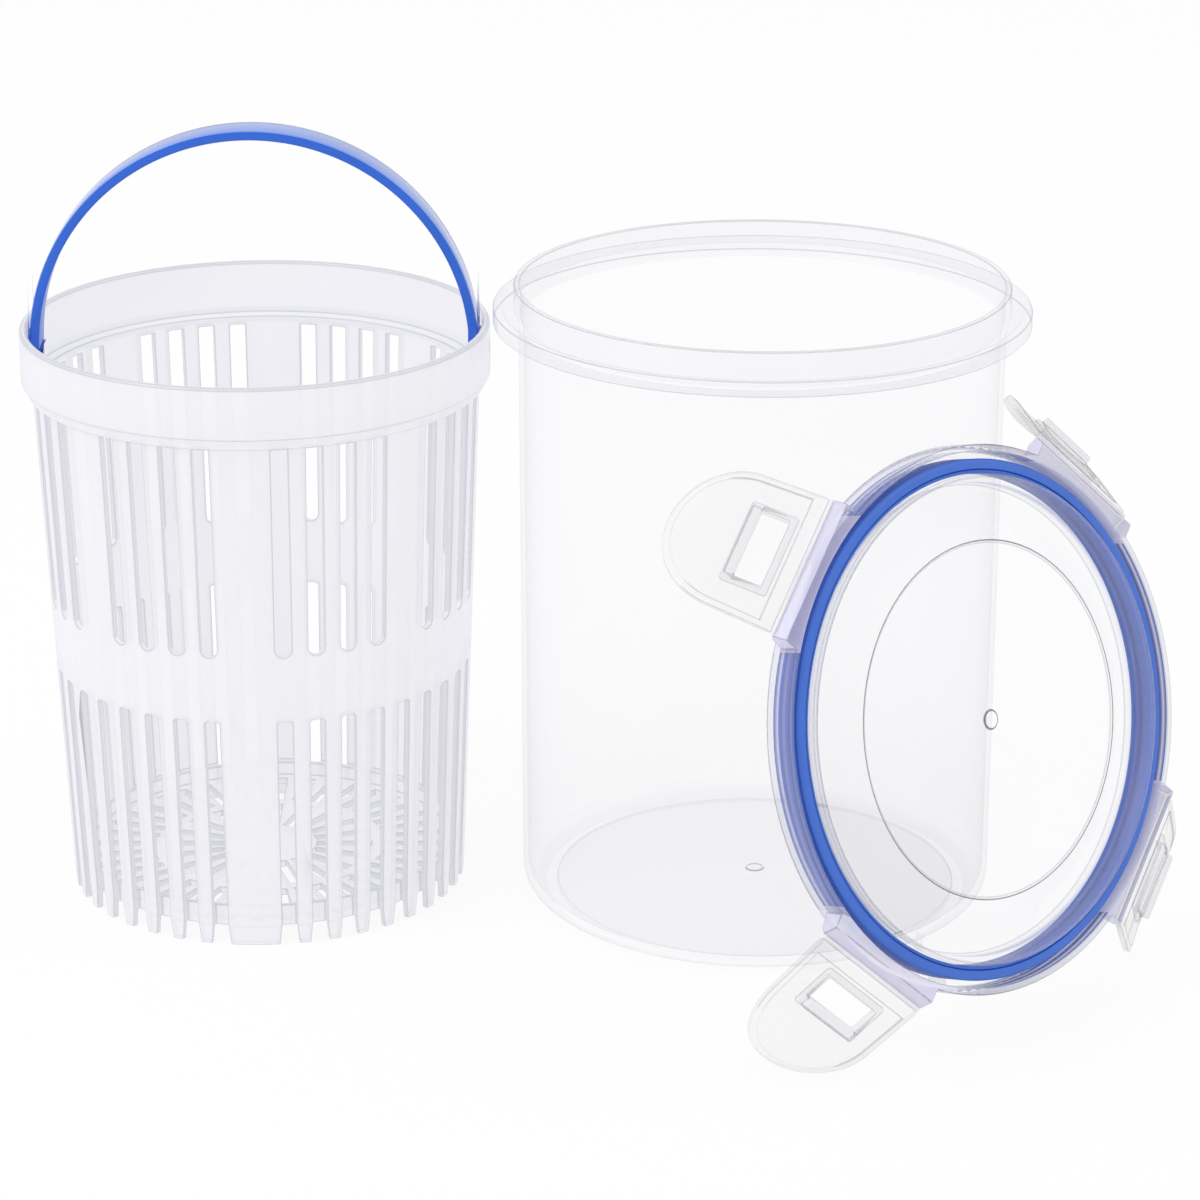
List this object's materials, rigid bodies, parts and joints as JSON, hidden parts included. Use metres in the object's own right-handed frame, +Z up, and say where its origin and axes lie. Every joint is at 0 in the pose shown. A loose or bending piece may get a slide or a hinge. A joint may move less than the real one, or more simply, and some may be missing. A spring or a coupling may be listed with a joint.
{
  "type": "pickle keeper with lift strainer",
  "caption": "Clear round food canister with a flanged neck, a slotted strainer basket that lifts out on a folding blue bail, and a gasketed lid with hinged latches.",
  "frame": {"origin": "centre of the canister base on the table", "axes": "+X towards the right of the picture, +Y away from its camera, +Z up along the canister"},
  "size_m": [0.284, 0.191, 0.1939],
  "materials": {
    "clear": "clear, glossy",
    "milky": "translucent white, satin",
    "blue": "satin",
    "seal": "matte"
  },
  "bodies": {
    "canister": {"canister": "clear"},
    "strainer": {"strainer_basket": "milky"},
    "bail": {"bail_handle": "blue"},
    "lid": {"lid": "clear", "gasket": "seal", "hinge_web_upper_right": "clear", "hinge_web_upper_left": "clear", "hinge_web_lower_left": "clear", "hinge_web_lower_right": "clear"},
    "latch_upper_right_body": {"latch_upper_right": "clear"},
    "latch_upper_left_body": {"latch_upper_left": "clear"},
    "latch_lower_left_body": {"latch_lower_left": "clear"},
    "latch_lower_right_body": {"latch_lower_right": "clear"}
  },
  "joints": [
    {"name": "strainer_lift", "type": "slide", "parent": "canister", "child": "strainer", "axis": [0, 0, 1], "range_m": [0, 0.2]},
    {"name": "bail_fold", "type": "hinge", "parent": "strainer", "child": "bail", "pos_m": [-0.124, 0.008, 0.1389], "axis": [1, 0, 0], "range_deg": [-90, 90]},
    {"name": "lid_away", "type": "slide", "parent": "canister", "child": "lid", "axis": [0.6794, -0.7337, 0], "range_m": [0, 0.25]},
    {"name": "latch_upper_right_hinge", "type": "hinge", "parent": "lid", "child": "latch_upper_right_body", "pos_m": [0.075, -0.03605, 0.11929], "axis": [-0.6424, -0.347, 0.6833], "range_deg": [-142, 0]},
    {"name": "latch_upper_left_hinge", "type": "hinge", "parent": "lid", "child": "latch_upper_left_body", "pos_m": [0.00569, -0.10023, 0.11929], "axis": [-0.3953, -0.6138, -0.6833], "range_deg": [-135, 35]},
    {"name": "latch_lower_left_hinge", "type": "hinge", "parent": "lid", "child": "latch_lower_left_body", "pos_m": [0.02219, -0.11806, 0.02799], "axis": [0.6424, 0.347, -0.6833], "range_deg": [-128, 42]},
    {"name": "latch_lower_right_hinge", "type": "hinge", "parent": "lid", "child": "latch_lower_right_body", "pos_m": [0.09151, -0.05387, 0.02799], "axis": [0.3953, 0.6138, 0.6833], "range_deg": [-122, 48]}
  ]
}
